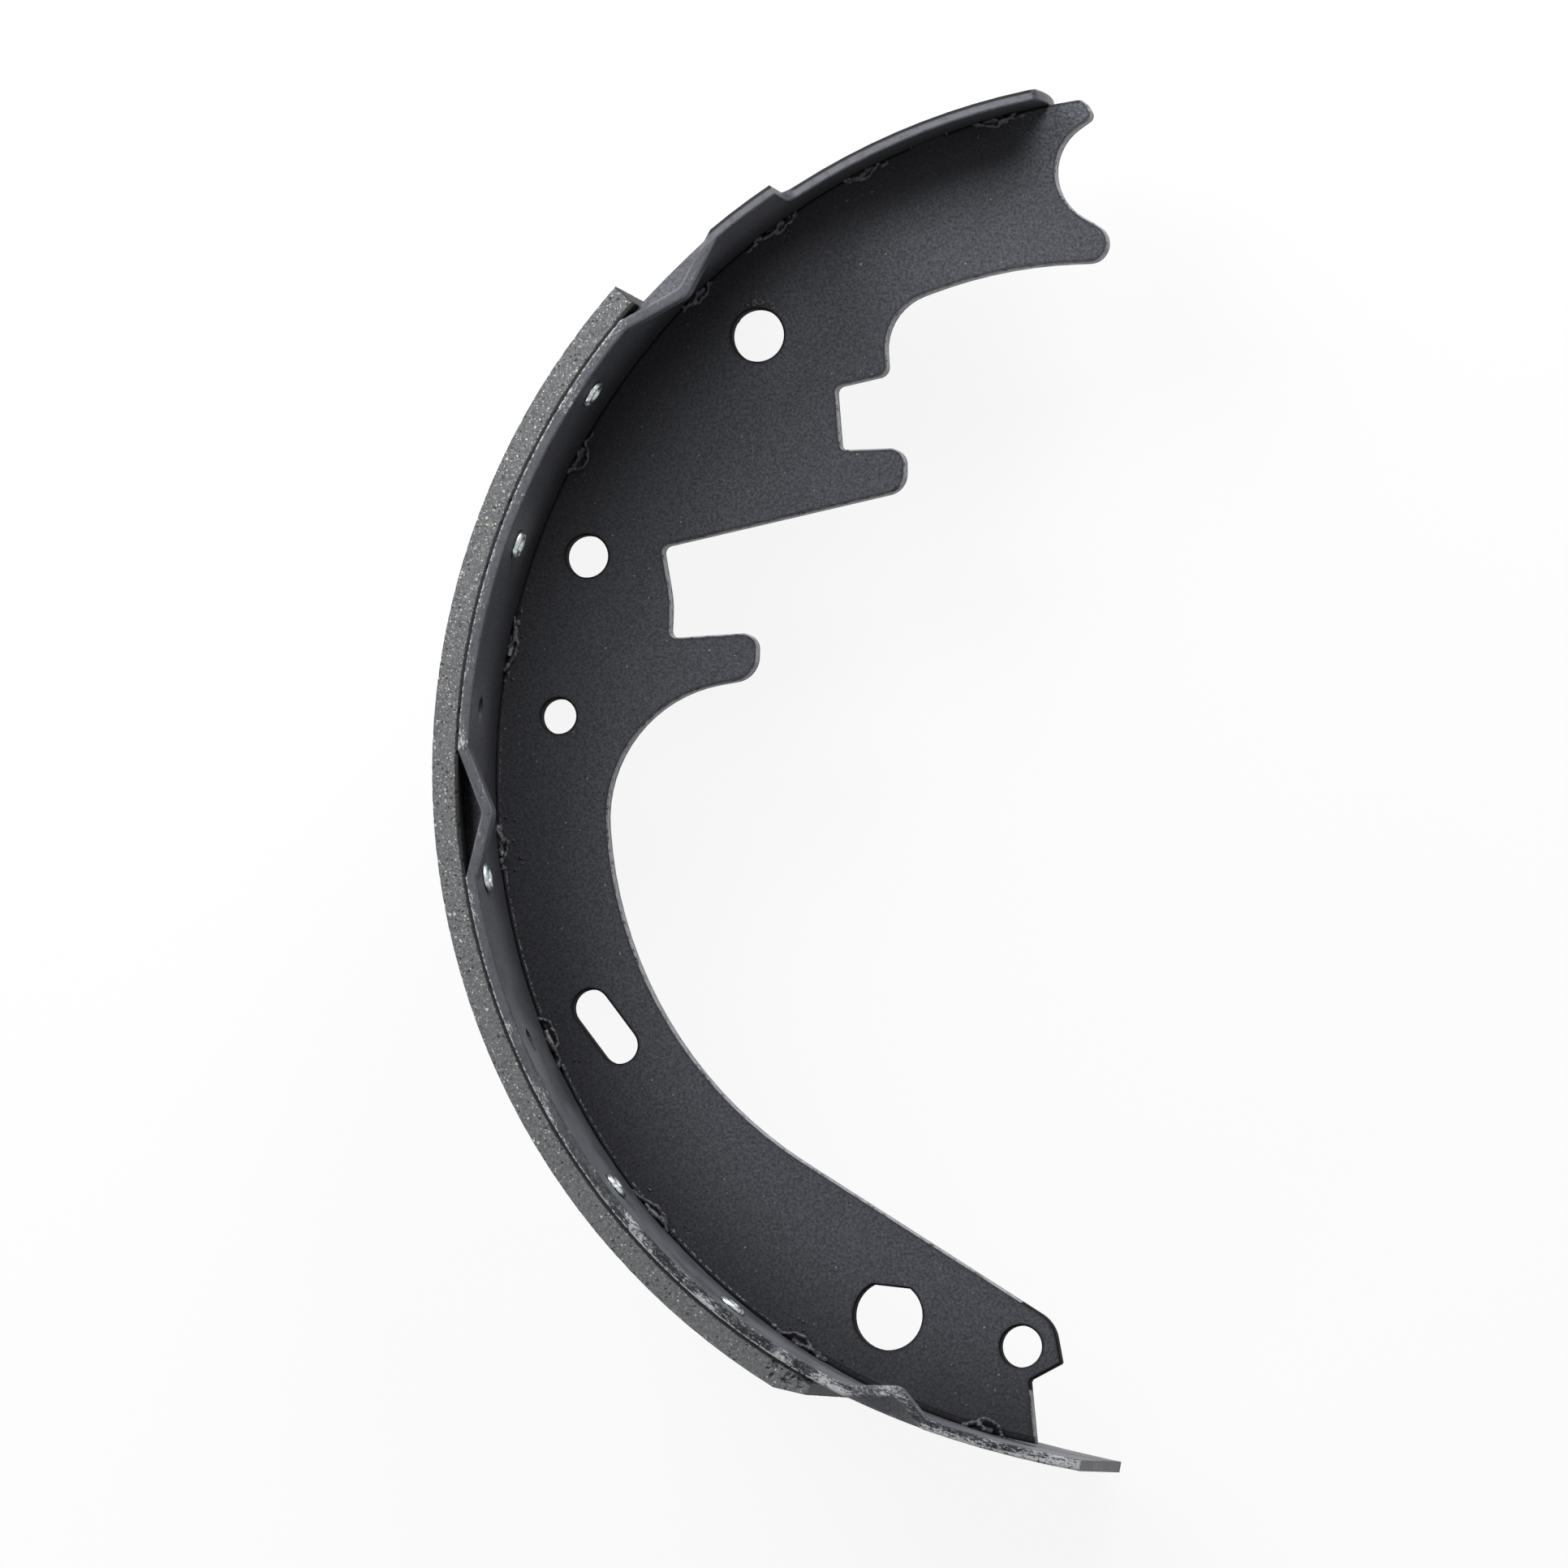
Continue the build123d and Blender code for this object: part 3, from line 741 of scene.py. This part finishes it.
def friction_finish():
    """Ground friction material: speckled grey, with flecks, pits and grinding lines, dark at its
    joint with the table, and with painted shade on its upper end face. The flecks are given as
    many to a millimetre, size and seed."""
    block = bpy.data.materials.new("friction_block")
    block.use_nodes = True
    tree = block.node_tree
    shader = tree.nodes["Principled BSDF"]
    where = use(tree, drum_place)
    sag = reckon(tree, "MULTIPLY", where["Height"], where["Height"])
    level = reckon(tree, "MULTIPLY_ADD", sag, grinding_bow, where["Along"])
    lines = put(tree, "ShaderNodeCombineXYZ", {
        0: level, 1: reckon(tree, "MULTIPLY", where["Height"], grinding_length)}).outputs[0]
    ground = cloud(tree, lines, 1.7, 3.0, 0.7)
    outer = between(tree, where["Radius"],
                    *(lining_radius / millimetre - depth for depth in ground_skin))
    grain = cloud(tree, where["Point"], 1.6, 6.0, 0.85)
    streaked = reckon(tree, "MULTIPLY_ADD", reckon(tree, "SUBTRACT", ground, 0.5), outer, grain)
    colour = tint(tree, between(tree, streaked, 0.34, 0.64), lining_dark, lining_colour)

    pits = use(tree, speck_scatter, Per_mm=1.1, Share=0.34, Size=0.30, Seed=21.0)
    colour = tint(tree, overlap(tree, pits["Mask"], 0.8), colour, pit_colour)
    brass = use(tree, speck_scatter, Per_mm=0.8, Share=0.14, Size=0.32, Seed=7.0)
    upper = between(tree, where["Angle"], *brass_angles)
    colour = tint(tree, overlap(tree, brass["Mask"], upper), colour, brass_colour)
    share = reckon(tree, "MULTIPLY_ADD", between(tree, where["Angle"], *fleck_angles), 0.28, 0.10)
    for per_mm, size, seed in fleck_sizes:
        flecks = use(tree, speck_scatter, Per_mm=per_mm, Share=share, Size=size, Seed=seed)
        tone = reckon(tree, "MULTIPLY_ADD", flecks["Tone"], 0.8, 0.2)
        colour = tint(tree, overlap(tree, flecks["Mask"], tone), colour, fleck_colour)

    uneven = reckon(tree, "MULTIPLY", reckon(tree, "SUBTRACT", grain, 0.5), 1.2)
    joint = between(tree, reckon(tree, "ADD", where["Radius"], uneven),
                    *(table_radius / millimetre + depth for depth in joint_skin))
    # Painted shade on the upper end face.
    end = between(tree, where["Angle"], lining_top_angle - 0.15, lining_top_angle - 0.05)
    dark = reckon(tree, "MAXIMUM", joint, overlap(tree, end, 0.8))
    colour = tint(tree, dark, colour, joint_colour)
    deep = reckon(tree, "MULTIPLY_ADD", pits["Mask"], -1.5, overlap(tree, ground, outer))
    tall = reckon(tree, "MULTIPLY_ADD", grain, 0.9, deep)
    edge = use(tree, worn_edge, Width=0.00025)
    bump = put(tree, "ShaderNodeBump", {
        "Height": tall, "Normal": edge["Normal"], "Strength": 0.7, "Distance": friction_relief})
    tree.links.new(colour, shader.inputs["Base Color"])
    tree.links.new(reckon(tree, "MULTIPLY_ADD", grain, 0.3, 0.55), shader.inputs["Roughness"])
    tree.links.new(bump.outputs[0], shader.inputs["Normal"])
    shader.inputs["Specular IOR Level"].default_value = 0.3
    return block


def crumb_cutter():
    """All the crumbs as one mesh, to be cut off the lining."""
    chance = random.Random(7)
    mesh = bmesh.new()
    for centre, size, along in crumbled_places(chance):
        chip(mesh, centre, size, along, chance)
    crumbs = bpy.data.meshes.new("crumbs")
    mesh.to_mesh(crumbs)
    mesh.free()
    return in_scene("crumbs", crumbs)


def crumbled_lining():
    """The lining's own form with its crumbs cut off. Only its curved faces are smooth."""
    body = bmesh.new()
    body.from_mesh(frame["nodes"]["lining"].data)
    bmesh.ops.remove_doubles(body, verts=body.verts, dist=0.000001)
    data = bpy.data.meshes.new("lining_block")
    body.to_mesh(data)
    body.free()
    piece = in_scene("lining_block", data)
    cutter = crumb_cutter()
    cut = piece.modifiers.new("crumble", "BOOLEAN")
    cut.operation = "DIFFERENCE"
    cut.solver = "EXACT"
    cut.use_self = True
    cut.object = cutter
    settle(piece)
    bpy.data.objects.remove(cutter)
    for polygon in piece.data.polygons:
        outward = polygon.center - drum_axis
        outward.z = 0
        curved = abs(polygon.normal.dot(outward.normalized())) > 0.996
        sizes = (lining_radius, table_radius)
        polygon.use_smooth = curved and min(abs(outward.length - r) for r in sizes) < 0.0001
    piece.data.materials.clear()
    piece.data.materials.append(friction_finish())
    return piece


lining_block = crumbled_lining()
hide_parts("lining")
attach(lining_block, "root")

# Rivets: semi-tubular steel rivets, two in each of five rows, bright zinc, with the heads of
# rows 3 and 5 coloured dark as a painted reflection. The head sits on the shelf of its
# counterbore, and the tail is rolled over inside the table, where its lip came out uneven and
# split in places.
shank_radius = 0.0024
head_radius = 0.0042
head_thickness = 0.0012
head_edge = 0.00035
head_under_edge = 0.0001
head_dish = 0.00012
dish_edge_drop = 0.00005
tail_radius = 0.0032
tail_height = 0.0011
tail_bore_radius = 0.0015
tail_bore_depth = 0.0036
bore_end_taper = 0.0004
lip_unevenness = 0.06
splits_per_lip = 2
split_half_widths = (7, 12)
split_depth = 0.00022
rivet_steps = 60
sharp_angle = 50
plating_relief = 0.00006
zinc_colour = (0.60, 0.63, 0.64)
zinc_shade = (0.34, 0.38, 0.38)
# Dark greenish head colour: a painted reflection for rows 3 and 5.
dark_reflection_colour = (0.075, 0.100, 0.095)
dark_reflection_rows = (3, 5)


def arc_profile(centre, radius, start, end, steps=5):
    """Points of a round corner in a rivet's section, angles in degrees."""
    for step in range(steps + 1):
        turn = math.radians(start + (end - start) * step / steps)
        yield (centre[0] + radius * math.cos(turn), centre[1] + radius * math.sin(turn))


def rivet_profile(grip):
    """Section from the middle of the head round to the middle of the bore's end."""
    lip = (tail_radius - tail_bore_radius) / 2
    lip_middle = (tail_bore_radius + lip, -grip - tail_height + lip)
    bore_end = -grip - tail_height + tail_bore_depth
    under_edge = (head_radius - head_under_edge, head_under_edge)
    points = [(0, head_thickness - head_dish),
              (0.6 * head_radius, head_thickness - dish_edge_drop)]
    points += arc_profile((head_radius - head_edge, head_thickness - head_edge), head_edge, 90, 0)
    points += arc_profile(under_edge, head_under_edge, 0, -90, 2)
    points += [(shank_radius, 0), (shank_radius, -grip)]
    points += arc_profile(lip_middle, lip, 0, -180, 10)
    points += [(tail_bore_radius, bore_end - bore_end_taper)]
    points += [(tail_bore_radius - bore_end_taper, bore_end), (0, bore_end)]
    return points


def turned_rows(mesh, grip, angle, side, seed):
    """Rings of points for a rivet turned about its own axis, with its lip uneven and split."""
    chance = random.Random(seed)
    splits = [(chance.uniform(0, 360), chance.uniform(*split_half_widths))
              for _ in range(splits_per_lip)]
    outward, onward = away(angle), away(angle + 90)
    upward = Vector((0, 0, 1))
    base = around(lining_radius - counterbore_shelf, angle, side * rivet_side_height)
    rows = []
    for radius, height in rivet_profile(grip):
        if radius == 0:
            rows.append([mesh.verts.new(base + outward * height)])
            continue
        tail = height < -grip + 0.0001 and radius > tail_bore_radius
        row = []
        for step in range(rivet_steps):
            degrees = 360 * step / rivet_steps
            turn = math.radians(degrees)
            ring = Vector((math.cos(turn), math.sin(turn), seed))
            swell = 1 + (lip_unevenness * noise.noise(ring * 1.5) if tail else 0)
            lower = 0.0
            for place, width in splits:
                gap = abs((degrees - place + 180) % 360 - 180)
                if tail and gap < width:
                    lower = max(lower, split_depth * (1 - gap / width))
            spot = math.cos(turn) * onward + math.sin(turn) * upward
            row.append(mesh.verts.new(base + outward * (height + lower) + spot * radius * swell))
        rows.append(row)
    return rows


def skin_rows(mesh, rows):
    """Faces between the rings, drawn together where a ring is a single point."""
    for above, below in zip(rows, rows[1:]):
        for step in range(rivet_steps):
            after = (step + 1) % rivet_steps
            if len(above) == 1:
                mesh.faces.new((above[0], below[step], below[after]))
            elif len(below) == 1:
                mesh.faces.new((above[step], below[0], above[after]))
            else:
                mesh.faces.new((above[step], below[step], below[after], above[after]))
    bmesh.ops.recalc_face_normals(mesh, faces=mesh.faces)


def turned_rivet(name, angle, side, seed):
    """One rivet, whose head and tail grip the lining's shelf and the table between them."""
    grip = lining_radius - counterbore_shelf - math.sqrt(web_radius ** 2 - tail_radius ** 2)
    mesh = bmesh.new()
    skin_rows(mesh, turned_rows(mesh, grip, angle, side, seed))
    data = bpy.data.meshes.new(name)
    mesh.to_mesh(data)
    mesh.free()
    for polygon in data.polygons:
        polygon.use_smooth = True
    data.set_sharp_from_angle(angle=math.radians(sharp_angle))
    return in_scene(name, data)


def plating(name, head_colour, head_metal):
    """Zinc, clouded and scuffed. The head's colour lies outside the table only."""
    plate = bpy.data.materials.new(name)
    plate.use_nodes = True
    tree = plate.node_tree
    shader = tree.nodes["Principled BSDF"]
    where = use(tree, drum_place)
    scuffs = cloud(tree, where["Point"], 1.6, 5.0, 0.7)
    colour = tint(tree, between(tree, scuffs, 0.62, 0.38), zinc_colour, zinc_shade)
    head = between(tree, where["Radius"], table_radius / millimetre + 0.5,
                   table_radius / millimetre + 0.9)
    colour = tint(tree, head, colour, head_colour)
    metal = reckon(tree, "MULTIPLY_ADD", head, head_metal - 1.0, 1.0)
    bump = put(tree, "ShaderNodeBump", {
        "Height": scuffs, "Strength": 0.5, "Distance": plating_relief})
    tree.links.new(colour, shader.inputs["Base Color"])
    tree.links.new(metal, shader.inputs["Metallic"])
    tree.links.new(reckon(tree, "MULTIPLY_ADD", scuffs, 0.3, 0.18), shader.inputs["Roughness"])
    tree.links.new(bump.outputs[0], shader.inputs["Normal"])
    return plate


bright_plating = plating("bright_zinc", zinc_colour, 0.9)
# Painted reflection: dark, less metallic heads for rows 3 and 5.
dark_reflection_plating = plating("dark_reflection_zinc", dark_reflection_colour, 0.2)
for row, angle in enumerate(rivet_row_angles, start=1):
    for label, side in (("near", 1), ("far", -1)):
        rivet = turned_rivet(f"turned_rivet_{label}_{row}", angle, side, 3 * row + side)
        rivet.data.materials.append(dark_reflection_plating if row in dark_reflection_rows else bright_plating)
        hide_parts(f"rivet_{label}_{row}")
        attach(rivet, "root")

# Floor: a plain pale sheet under the shoe. Seen by the camera it is lifted towards white and
# keeps the shoe's shadow.
floor_half_size = 3.0
floor_colour = (0.90, 0.90, 0.90)
floor_veil = 0.90
floor_mesh = bpy.data.meshes.new("floor")
sides = [(-1, -1), (1, -1), (1, 1), (-1, 1)]
floor_mesh.from_pydata([(x * floor_half_size, y * floor_half_size, 0) for x, y in sides],
                       [], [(0, 1, 2, 3)])
floor = in_scene("floor", floor_mesh)
floor_paint = bpy.data.materials.new("floor_paint")
floor_paint.use_nodes = True


def seen_rays(tree):
    """1 for rays that show the background: to the camera, in gloss and through glass."""
    ray = put(tree, "ShaderNodeLightPath").outputs
    seen = reckon(tree, "MAXIMUM", ray["Is Camera Ray"], ray["Is Glossy Ray"])
    return reckon(tree, "MAXIMUM", seen, ray["Is Transmission Ray"])


tree = floor_paint.node_tree
shader = tree.nodes["Principled BSDF"]
shader.inputs["Base Color"].default_value = (*floor_colour, 1)
shader.inputs["Roughness"].default_value = 0.9
shader.inputs["Specular IOR Level"].default_value = 0.0
white = put(tree, "ShaderNodeEmission", {"Strength": 1.0})
veiled = put(tree, "ShaderNodeMixShader", {
    0: reckon(tree, "MULTIPLY", seen_rays(tree), floor_veil),
    1: shader.outputs[0], 2: white.outputs[0]})
tree.links.new(veiled.outputs[0], tree.nodes["Material Output"].inputs["Surface"])
floor_mesh.materials.append(floor_paint)

# Light: a pale room with three soft boxes. The key stands over the lining side of the anchor
# end, so that the table's wall shades the web beside it, one more stands behind the anchor end,
# and a low one lights the outer face of the other end.
room_level = 0.12
world = bpy.data.worlds.new("room")
bpy.context.scene.world = world
world.use_nodes = True
tree = world.node_tree
sky = tree.nodes["Background"]
sky.inputs["Color"].default_value = (1, 1, 1, 1)
tree.links.new(reckon(tree, "MULTIPLY_ADD", seen_rays(tree), 1 - room_level, room_level),
               sky.inputs["Strength"])
soft_boxes = {
    "key": dict(place=(-0.42, 0.50, 0.42), size=0.50, energy=6.2),
    "top": dict(place=(0.25, 0.65, 0.45), size=0.40, energy=4.8),
    "low": dict(place=(-0.35, -0.62, 0.12), size=0.40, energy=1.8),
}
aim = Vector((0.0, 0.0, 0.035))
for name, settings in soft_boxes.items():
    lamp = bpy.data.lights.new(name, "AREA")
    lamp.shape = "DISK"
    lamp.size = settings["size"]
    lamp.energy = settings["energy"]
    soft_box = in_scene(name, lamp)
    soft_box.location = settings["place"]
    soft_box.rotation_euler = (aim - soft_box.location).to_track_quat("-Z", "Y").to_euler()

# Camera: 3 m over the shoe, a little towards the hub side, with the anchor end at the top.
camera_distance = 3.0
camera_direction = Vector((0.1234, -0.053, 0.991))
view_height = 0.330
sensor_width = 36.0
camera_data = bpy.data.cameras.new("camera")
camera = in_scene("camera", camera_data)
stand = drum_axis + camera_distance * camera_direction
middle = (cad_bounds[0] + cad_bounds[1]) / 2
back = (stand - middle).normalized()
right = Vector((0, 1, 0)).cross(back).normalized()
turn = Matrix((right, back.cross(right), back)).transposed().to_4x4()
camera.matrix_world = Matrix.Translation(stand) @ turn
camera_data.sensor_width = sensor_width
camera_data.lens = sensor_width * camera_distance / view_height
camera_data.clip_end = 20.0
bpy.context.scene.camera = camera
bpy.context.scene.view_settings.view_transform = "Standard"
